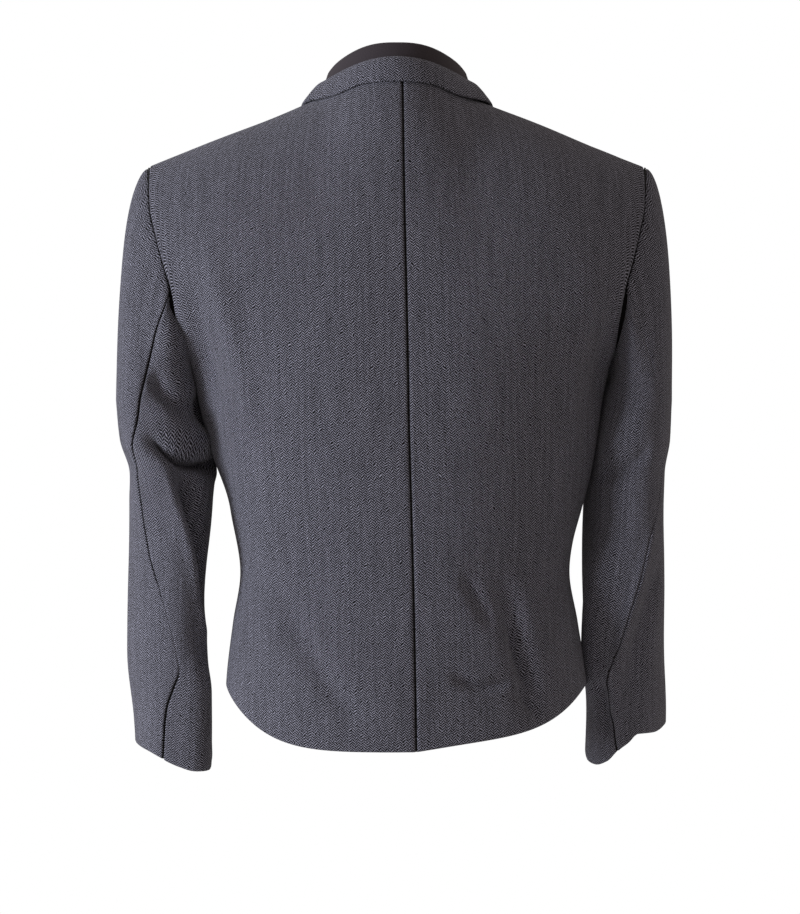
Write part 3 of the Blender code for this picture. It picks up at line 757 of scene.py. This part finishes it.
def round_neck(place, rows, rolls):
    """Runs a left-hand collar line right round the neck, from the right gorge to the left one."""
    half = mesh_lines(HALF_NECK, NECK_STEP, close_start=False)
    station, share = np.meshgrid(half, rows)
    left = place(station, share)
    for _ in range(NECK_SMOOTHING):
        left[:, 1:-1] = (left[:, :-2] + 2 * left[:, 1:-1] + left[:, 2:]) / 4
    right = left * np.array([-1, 1, 1]) + np.array([2 * NECK_SWAY, 0, 0])
    points = np.concatenate([right[:, :0:-1], left], axis=1)
    across = travel(points, 1)
    across = across - across[:, len(half) - 1 : len(half)]
    edges = rolled_edges(points, rolls)
    flat = np.stack([across, travel(points, 0)], axis=-1)
    return points + outward(points, NECK_MIDDLE) * edges[..., None], flat, edges


STAND_CUT = (0.410, 0.038)
STAND_CUT_AREA = 0.0118
FALL_CUT = (0.425, 0.051)
FALL_CUT_AREA = 0.0134
stand_rows = np.concatenate([[-2 * TUCK_SHARE, -TUCK_SHARE], mesh_lines(STAND_RUN, COLLAR_STEP)])
cloth_piece(
    MELTON, "collar_stand", *round_neck(stand_point, stand_rows, (0, 0, 0, HEM_ROLL)), NECK_MIDDLE,
    flat=STAND_CUT, held="stretched", rests_on=["back_left", "back_right"], area=STAND_CUT_AREA,
)
fall_rows = mesh_lines(FALL_RUN, COLLAR_STEP)
fall_rolls = (HEM_ROLL, HEM_ROLL, SEAM_ROLL, HEM_ROLL)
cloth_piece(
    WOOL, "collar_fall", *round_neck(fall_point, fall_rows, fall_rolls), NECK_MIDDLE,
    flat=FALL_CUT, held="folded", rests_on=["collar_stand"], area=FALL_CUT_AREA,
)

# Sleeves
# Each is a two-piece sleeve of the wool, an upper and a narrower under piece, set into the armhole with its
# cap standing a little proud of the seam. It hangs slightly bent, with folds at the elbow.
SLEEVE = table(
    "height back front left_outer left_inner left_turn right_outer right_inner right_turn",
    (-0.270, 0.058, -0.066, 0.2565, 0.1815, 0.12, 0.2465, 0.1815, 0.12),
    (-0.305, 0.057, -0.061, 0.2530, 0.1725, 0.12, 0.2440, 0.1745, 0.15),
    (-0.335, 0.053, -0.060, 0.2455, 0.1680, 0.05, 0.2385, 0.1705, 0.20),
    (-0.360, 0.050, -0.062, 0.2475, 0.1700, -0.07, 0.2380, 0.1680, 0.22),
    (-0.420, 0.043, -0.067, 0.2495, 0.1730, -0.25, 0.2400, 0.1675, 0.14),
    (-0.500, 0.030, -0.073, 0.2510, 0.1760, -0.27, 0.2420, 0.1690, -0.10),
    (-0.560, 0.019, -0.079, 0.2455, 0.1740, -0.17, 0.2450, 0.1700, -0.17),
    (-0.610, 0.010, -0.084, 0.2425, 0.1725, -0.07, 0.2455, 0.1700, -0.08),
)
CUFF_HEIGHT = -0.5925
CUFF_HEM = table(
    "angle left right",
    (-125, -0.5905, -0.5860),
    (-60, -0.5865, -0.5760),
    (0, -0.5835, -0.5665),
    (40, -0.5875, -0.5715),
    (65, -0.5930, -0.5718),
    (80, -0.5975, -0.5795),
    (98, -0.6015, -0.5875),
    (115, -0.6040, -0.5970),
    (135, -0.6040, -0.6010),
    (160, -0.6010, -0.5985),
    (180, -0.5945, -0.5908),
    (235, -0.5905, -0.5860),
)
HIND_SEAM = table(
    "height left right left_crisp right_crisp",
    (-0.170, 107, 104, 1.0, 0.50),
    (-0.198, 102, 100, 1.0, 0.25),
    (-0.245, 92, 84, 1.0, 0.15),
    (-0.286, 74, 62, 1.0, 0.15),
    (-0.320, 51, 48, 1.0, 0.15),
    (-0.345, 44, 48, 1.0, 0.20),
    (-0.375, 44, 58, 1.0, 0.30),
    (-0.405, 46, 75, 1.0, 0.40),
    (-0.451, 68, 86, 0.25, 0.45),
    (-0.492, 88, 95, 0.15, 0.45),
    (-0.508, 92, 104, 0.4, 0.60),
    (-0.524, 84, 111, 1.0, 1.0),
    (-0.548, 73, 111, 1.0, 1.0),
    (-0.566, 71, 102, 1.0, 1.0),
    (-0.592, 71, 98, 0.8, 0.8),
)
FORE_SEAM_ANGLE = math.radians(235)
ARMHOLE_GAP = 0.0007
ALLOWANCE = 0.006
ALLOWANCE_DEPTH = 0.0052
ARMHOLE_MIDDLE = (0.26, -0.06)
CAP_PUFF = 0.060
CAP_TURN_DOWN = 0.90
CAP_FOLLOW = 0.02
UNDERARM_LIFT = 0.02
CAP_LENGTH = 0.15
ARM_LENGTH = 0.325
SLEEVE_RADIUS = 0.047
DEGREE = math.radians(1) * SLEEVE_RADIUS
SLEEVE_RUNS = {"upper": 0.19, "under": 0.16}
SLEEVE_MIDDLES = {"upper": 0.18, "under": 0.24}
SLEEVE_MIDDLE_HEIGHT = -0.42
CAP_LEAVE = 0.012
CAP_ANGLE_STEP = 0.02
CAP_LOW_FROM = 0.3
CAP_LOW_SPAN = 0.9
CAP_DIP = 0.0024
CAP_DIP_WIDTH = 0.007
CAP_DIP_FROM = 0.1
CAP_DIP_SPAN = 0.5

# Paths go by height and by degrees round the sleeve: 0 at its outer side, 90 behind, 180 next to the body
SLEEVE_FOLDS = {
    LEFT: fold_table(
        (9, -22, [(74, -298), (88, -309), (113, -319), (140, -324), (175, -325), (200, -324)]),
        (14, 8.5, [(100, -262), (118, -288), (140, -300), (165, -303), (190, -303)]),
        (7.5, -7, [(97, -242), (108, -258), (119, -271), (134, -288)]),
        (7.5, 6.5, [(88, -306), (97, -352), (104, -385), (112, -415), (130, -461), (150, -515)]),
        (16, -23, [(104, -316), (118, -342), (132, -375), (142, -415), (155, -480)]),
        (19, 11, [(126, -480), (126, -530), (126, -580), (126, -660)]),
        (12, 4.5, [(165, -292), (176, -312), (182, -326), (188, -346)]),
        (10, -2.2, [(56, -350), (68, -372), (82, -400)]),
        (18, 11, [(112, -185), (130, -222), (141, -255), (146, -290)]),
        (5, -8, [(156, -262), (160, -278), (167, -300), (174, -318)]),
        across=DEGREE,
    ),
    RIGHT: fold_table(
        (8, -5, [(75, -305), (95, -322), (125, -334), (165, -338)]),
        (16, 4, [(85, -272), (110, -296), (140, -312), (165, -316)]),
        (8, -7.5, [(122, -515), (119, -540), (112, -560), (104, -580)]),
        (7, 4, [(52, -360), (75, -405), (86, -451), (95, -492), (110, -524), (111, -550)]),
        (14, -7, [(40, -400), (60, -460), (74, -510), (84, -560)]),
        (20, 10.5, [(140, -380), (140, -440), (138, -500), (135, -555)]),
        across=DEGREE,
    ),
}
# How far the cloth above a crease hangs down over it, along paths of the same kind
SLEEVE_SAGS = {
    LEFT: fold_table(
        (8, 8.5, [(82, -296), (112, -309), (140, -313), (175, -314), (205, -313)]),
        across=DEGREE,
    ),
    RIGHT: [],
}


def armhole_point(angle, side):
    """Points of the armhole seam, from its top, round the back, under the arm and up the front."""
    top = shoulder_height(SHOULDER_END)
    height = mix(UNDERARM, top, (1 + np.cos(angle)) / 2)
    face = np.where(np.sin(angle) >= 0, BACK, FRONT)
    edge = np.where(face == BACK, curve(ARMHOLE, "back", height), curve(ARMHOLE, "front", height))
    return body_point(curve(BODY, "sway", height) + side * edge, height, face), face


def sleeve_section(side, height, angle):
    name = SIDE_NAMES[side]
    outer, inner = curve(SLEEVE, name + "_outer", height), curve(SLEEVE, name + "_inner", height)
    back, front = curve(SLEEVE, "back", height), curve(SLEEVE, "front", height)
    turn = curve(SLEEVE, name + "_turn", height) * (back - front) / 2
    half_width = np.sqrt(((outer - inner) / 2) ** 2 - turn**2)
    x = (outer + inner) / 2 + half_width * np.cos(angle) + turn * np.sin(angle)
    return point(side * x, (back + front) / 2 + (back - front) / 2 * np.sin(angle), height)


def sleeve_cap(side, angle, down):
    """Points of the sleeve cap, from the armhole seam down to the first hanging section."""
    start, face = armhole_point(angle, side)
    end = sleeve_section(side, SLEEVE[0].height, angle)
    drop = start[..., 2] - end[..., 2]
    top = np.maximum(np.cos(angle), 0)
    leave = point(side * (CAP_PUFF * top + CAP_LEAVE), 0, -drop * (1 - CAP_TURN_DOWN * top**2))
    along = armhole_point(angle + CAP_ANGLE_STEP, side)[0] - armhole_point(angle - CAP_ANGLE_STEP, side)[0]
    off_body = body_normal(start[..., 0], start[..., 2], face)
    off_seam = unit(np.cross(along, off_body))
    off_seam = off_seam * np.sign(off_seam[..., :1] * side)
    low = ramp((CAP_LOW_FROM - np.cos(angle)) / CAP_LOW_SPAN)[..., None]
    start = start + unit(off_seam * (1 - low) + off_body * low) * ARMHOLE_GAP
    follow = CAP_FOLLOW * (1 - low) * (1 - top[..., None])
    leave = leave + off_body * (UNDERARM_LIFT * low) + off_seam * follow
    arrive = point(0, 0, -drop)
    t = down[..., None]
    place = start * ((1 + 2 * t) * (1 - t) ** 2) + leave * (t * (1 - t) ** 2)
    return place + end * (t * t * (3 - 2 * t)) + arrive * (t * t * (t - 1))


def sleeve_piece(side, kind):
    """One piece of a sleeve between its fore and hind seams, with rows from the cuff up to the armhole."""
    name = SIDE_NAMES[side]
    first_height = SLEEVE[0].height
    arm_share = mesh_lines(ARM_LENGTH, close_end=False)[:, None]
    cap_share = mesh_lines(CAP_LENGTH, close_start=False)[1:, None]
    arm_height = mix(CUFF_HEIGHT, first_height, arm_share)
    nominal = np.concatenate([arm_height, mix(first_height, HIND_SEAM[0].height, cap_share)])
    overlap = SEAM_OVERLAP / SLEEVE_RADIUS
    hind = np.radians(curve(HIND_SEAM, name, nominal))
    lines = mesh_lines(SLEEVE_RUNS[kind])[None, :]
    if kind == "under":
        angle = mix(hind - overlap, FORE_SEAM_ANGLE + overlap, lines)
    else:
        angle = mix(FORE_SEAM_ANGLE - 2 * math.pi - overlap, hind + overlap, lines)
    count = len(arm_share)
    arm_angle, cap_angle = angle[:count], angle[count:]
    cuff_height = curve(CUFF_HEM, name, np.degrees(arm_angle))
    arm = sleeve_section(side, mix(cuff_height, first_height, arm_share), arm_angle)
    cap = sleeve_cap(side, cap_angle, 1 - cap_share + 0 * cap_angle)
    points = np.concatenate([arm, cap])
    up = travel(points, 0)
    flat = np.stack([angle * SLEEVE_RADIUS, up - up[count - 1 : count]], axis=-1)
    around = (np.mod(angle + math.pi / 2, 2 * math.pi) - math.pi / 2) * SLEEVE_RADIUS
    lift = folded(SLEEVE_FOLDS[side], around, points[..., 2])
    lift += uneven(around, points[..., 2], turn=2.0 + side)
    sag = folded(SLEEVE_SAGS[side], around, points[..., 2])
    middle = (side * SLEEVE_MIDDLES[kind], 0.0, SLEEVE_MIDDLE_HEIGHT)
    from_cap = up[-1:] - up
    behind = ramp((np.sin(angle) - CAP_DIP_FROM) / CAP_DIP_SPAN)
    lift -= CAP_DIP * behind * np.exp(-((from_cap / CAP_DIP_WIDTH) ** 2))
    hind_roll = SEAM_ROLL * curve(HIND_SEAM, name + "_crisp", nominal)
    side_rolls = (hind_roll, SEAM_ROLL) if kind == "under" else (SEAM_ROLL, hind_roll)
    edges = rolled_edges(points, (*side_rolls, HEM_ROLL, SEAM_ROLL))
    points = points + outward(points, middle) * (lift + edges)[..., None]
    points[..., 2] -= sag
    # the seam allowance is turned in at the armhole and sewn down inside the body
    seam, face = armhole_point(angle[-1], side)
    turned_in = seam - body_normal(seam[:, 0], seam[:, 2], face) * ALLOWANCE_DEPTH
    off_armhole = unit(seam * [1, 0, 1] - [side * ARMHOLE_MIDDLE[0], 0, ARMHOLE_MIDDLE[1]]) * ALLOWANCE
    x, height = seam[:, 0] + off_armhole[:, 0], seam[:, 2] + off_armhole[:, 2]
    sewn_down = body_point(x, height, face) - body_normal(x, height, face) * CLOTH / 2
    points = np.concatenate([points, [turned_in, sewn_down]])
    turned_flat = flat[-1:] + [0, ALLOWANCE_DEPTH]
    flat = np.concatenate([flat, turned_flat, turned_flat + [0, ALLOWANCE]])
    edges = np.concatenate([edges, edges[-1:], edges[-1:]])
    return points, flat, edges, middle


SleeveCut = namedtuple("SleeveCut", "width length area")
SLEEVE_CUTS = {"upper": SleeveCut(0.194, 0.558, 0.080), "under": SleeveCut(0.157, 0.447, 0.056)}
for side, name in SIDE_NAMES.items():
    for kind, cut in SLEEVE_CUTS.items():
        cloth_piece(
            WOOL, f"sleeve_{name}_{kind}", *sleeve_piece(side, kind),
            flat=(cut.width, cut.length), held="hung", rests_on=[f"back_{name}", f"front_{name}"],
            area=cut.area,
        )

# Buttons
# Two buttons of dark polished horn, turned with a raised rim and drilled with four holes. Two stitches of
# black thread hold each one to the front where it closes.
BUTTON_RADIUS = 0.010
BUTTON_THICKNESS = 0.0036
BUTTON_BEVEL = 0.0009
BUTTON_GAP = 0.0006
BUTTON_HEIGHTS = (-0.352, -0.440)
RIM_WIDTH = 0.0024
DISH_DEPTH = 0.0009
HOLE_RADIUS = 0.00095
HOLE_PLACE = 0.0021
THREAD_RADIUS = 0.00042
THREAD_DROP = 1.35
THREAD_SPREAD = 1.4
THREAD_RISE = 0.2

# Polished horn: nearly black brown with paler streaks across it, smooth from polishing, with a soft gloss
HORN_DARK = "#1b1614"
HORN_PALE = "#4a3a30"
STREAK_SPACING = 0.0022
GRAIN_TURN = (0.0, 0.5, 0.0)
GRAIN_STRETCH = (1.0, 1.0, 0.25)
horn, horn_shader = new_material("polished horn")
horn_place = add_node(horn, "ShaderNodeTexCoord", {})["Object"]
grain_inputs = {"Vector": horn_place, "Rotation": GRAIN_TURN, "Scale": GRAIN_STRETCH}
horn_grain = add_node(horn, "ShaderNodeMapping", grain_inputs)["Vector"]
streak_inputs = {"Vector": horn_grain, "Scale": 1 / STREAK_SPACING, "Detail": 4.0, "Distortion": 0.6}
horn_streak = add_node(horn, "ShaderNodeTexNoise", streak_inputs)["Fac"]
horn_share = add_range(horn, horn_streak, 0.42, 0.75, way="SMOOTHSTEP")
set_inputs(horn, horn_shader, {
    "Base Color": add_mix(horn, horn_share, linear(HORN_DARK), linear(HORN_PALE)),
    "Roughness": add_range(horn, horn_streak, 0.0, 1.0, start=0.24, end=0.42),
    "IOR": 1.54,
})

# Black sewing thread: twisted cotton, matt, with its twist as fine slanting ridges
THREAD_DARK = "#0e0d0e"
THREAD_LIGHT = "#2a282a"
TWIST_SCALE = 100.0
thread, thread_shader = new_material("black cotton thread")
thread_place = add_node(thread, "ShaderNodeTexCoord", {})["Object"]
twist_inputs = {"Vector": thread_place, "Scale": TWIST_SCALE, "Distortion": 1.0}
twist = add_node(thread, "ShaderNodeTexWave", twist_inputs, bands_direction="DIAGONAL")["Fac"]
set_inputs(thread, thread_shader, {
    "Base Color": add_mix(thread, twist, linear(THREAD_DARK), linear(THREAD_LIGHT)),
    "Normal": add_bump(thread, twist, strength=0.5, distance=0.0001),
    "Roughness": 0.8,
})


def select_faces(piece, chosen):
    """Selects, for the next edit-mode operator, the faces of a mesh that chosen picks."""
    bpy.ops.object.mode_set(mode="OBJECT")
    piece.data.polygons.foreach_set("select", [chosen(face) for face in piece.data.polygons])
    bpy.ops.object.mode_set(mode="EDIT")


def horn_button():
    """One button at the origin, facing +Z: rim and dish by insets, then rounded edges and holes."""
    bpy.ops.object.select_all(action="DESELECT")
    bpy.ops.mesh.primitive_cylinder_add(vertices=64, radius=BUTTON_RADIUS, depth=BUTTON_THICKNESS)
    button = bpy.context.object
    bpy.ops.object.mode_set(mode="EDIT")
    bpy.ops.mesh.select_mode(type="FACE")
    select_faces(button, lambda face: face.normal.z > 0.9)
    bpy.ops.mesh.inset(thickness=RIM_WIDTH)
    bpy.ops.mesh.inset(thickness=DISH_DEPTH)
    bpy.ops.transform.translate(value=(0, 0, -DISH_DEPTH))
    bpy.ops.object.mode_set(mode="OBJECT")
    edge = button.modifiers.new("edge", "BEVEL")
    edge.width = BUTTON_BEVEL
    edge.segments = 4
    edge.limit_method = "ANGLE"
    edge.angle_limit = math.radians(30)
    bpy.ops.object.modifier_apply(modifier="edge")
    for across in (-HOLE_PLACE, HOLE_PLACE):
        for up in (-HOLE_PLACE, HOLE_PLACE):
            bpy.ops.mesh.primitive_cylinder_add(
                vertices=20, radius=HOLE_RADIUS, depth=3 * BUTTON_THICKNESS, location=(across, up, 0)
            )
            drill = bpy.context.object
            bpy.context.view_layer.objects.active = button
            hole = button.modifiers.new("hole", "BOOLEAN")
            hole.object = drill
            bpy.ops.object.modifier_apply(modifier="hole")
            bpy.data.objects.remove(drill)
    button.data.materials.clear()
    button.data.materials.append(horn)
    return button


def thread_stitches():
    """The two stitches of a button at the origin, each a loop of thread down through two of its holes."""
    bpy.ops.object.select_all(action="DESELECT")
    stitches = []
    drop = HOLE_PLACE * (THREAD_DROP - THREAD_RISE)
    for across in (-HOLE_PLACE, HOLE_PLACE):
        bpy.ops.mesh.primitive_torus_add(
            major_radius=HOLE_PLACE, minor_radius=THREAD_RADIUS, major_segments=32, minor_segments=10,
            location=(across, 0, BUTTON_THICKNESS / 2 - DISH_DEPTH - drop),
            rotation=(0, math.pi / 2, 0),
        )
        stitch = bpy.context.object
        stitch.scale = (THREAD_DROP, 1, THREAD_SPREAD)
        stitches.append(stitch)
    for stitch in stitches:
        stitch.select_set(True)
    bpy.context.view_layer.objects.active = stitches[0]
    bpy.ops.object.join()
    loops = bpy.context.object
    bpy.ops.object.transform_apply(location=True, rotation=True, scale=True)
    bpy.ops.object.shade_smooth()
    loops.data.materials.append(thread)
    return loops


patterns = [(horn_button(), "horn_button", "horn"), (thread_stitches(), "button_thread", "black_cloth")]
for number, height in enumerate(BUTTON_HEIGHTS, 1):
    x = curve(BODY, "sway", height)
    facing = Vector(body_normal(x, height, FRONT))
    seat = Vector(body_point(x, height, FRONT)) + facing * (BUTTON_GAP + BUTTON_THICKNESS / 2)
    for pattern, name, slot in patterns:
        bpy.ops.object.select_all(action="DESELECT")
        piece = bpy.data.objects.new(f"{name}_{number}", pattern.data.copy())
        scene.collection.objects.link(piece)
        piece.rotation_euler = facing.to_track_quat("Z", "Y").to_euler()
        piece.location = seat
        piece.select_set(True)
        bpy.context.view_layer.objects.active = piece
        bpy.ops.object.transform_apply(location=True, rotation=True, scale=True)
        bpy.ops.object.shade_smooth_by_angle(angle=math.radians(35))
        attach(piece, "root")
        if slot == "horn":
            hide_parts(f"button_{number}")
for pattern, name, slot in patterns:
    bpy.data.objects.remove(pattern)

# Floor and light
# A plain pale floor below the jacket, paler to the camera than to the cloth, and a large cool light from the
# wearer's left. The surroundings are white to the eye, but give less and slightly warmer light to the cloth.
FLOOR_HEIGHT = -1.0
FLOOR_RADIUS = 1.6
FLOOR_COLOUR = "#e6e4e0"
FLOOR_SEEN = "#f4f3f1"
FLOOR_SEEN_SHARE = 0.8
KEY_PLACE = Vector((2.95, 1.25, -0.05))
KEY_SIZE = 1.3
KEY_WATTS = 86
KEY_COLOUR = "#ecf1ff"
SURROUND_LIGHT = 0.335
SURROUND_TINT = "#fff4f0"
bpy.ops.object.select_all(action="DESELECT")
floor_place = (0, 0, FLOOR_HEIGHT)
bpy.ops.mesh.primitive_circle_add(vertices=96, radius=FLOOR_RADIUS, fill_type="NGON", location=floor_place)
floor = bpy.context.object
floor.name = "floor"
bpy.ops.object.transform_apply(location=True, rotation=True, scale=True)
floor_paint, floor_shader = new_material("pale matt floor")
set_inputs(floor_paint, floor_shader, {"Base Color": linear(FLOOR_COLOUR), "Roughness": 0.9})
floor_glow = add_node(floor_paint, "ShaderNodeEmission", {"Color": linear(FLOOR_SEEN), "Strength": 1.0})[0]
to_camera = add_node(floor_paint, "ShaderNodeLightPath", {})["Is Camera Ray"]
floor_share = add_math(floor_paint, "MULTIPLY", to_camera, FLOOR_SEEN_SHARE)
floor_inputs = {0: floor_share, 1: floor_shader.outputs[0], 2: floor_glow}
floor_mix = add_node(floor_paint, "ShaderNodeMixShader", floor_inputs)[0]
set_inputs(floor_paint, floor_paint.node_tree.nodes["Material Output"], {"Surface": floor_mix})
floor.data.materials.append(floor_paint)

key_data = bpy.data.lights.new("key light", "AREA")
key_data.shape = "DISK"
key_data.size = KEY_SIZE
key_data.energy = KEY_WATTS
key_data.color = linear(KEY_COLOUR)[:3]
key_light = bpy.data.objects.new("key light", key_data)
key_light.location = KEY_PLACE
key_light.rotation_euler = (Vector(TORSO_MIDDLE) - KEY_PLACE).to_track_quat("-Z", "Y").to_euler()
scene.collection.objects.link(key_light)

world = bpy.data.worlds.new("white studio")
scene.world = world
world.use_nodes = True
eye_sky = world.node_tree.nodes["Background"]
eye_sky.inputs["Color"].default_value = (1, 1, 1, 1)
cloth_sky_inputs = {"Color": linear(SURROUND_TINT), "Strength": SURROUND_LIGHT}
cloth_sky = add_node(world, "ShaderNodeBackground", cloth_sky_inputs)[0]
to_camera = add_node(world, "ShaderNodeLightPath", {})["Is Camera Ray"]
either = add_node(world, "ShaderNodeMixShader", {0: to_camera, 1: cloth_sky, 2: eye_sky.outputs[0]})[0]
set_inputs(world, world.node_tree.nodes["World Output"], {"Surface": either})
scene.view_settings.view_transform = "Standard"
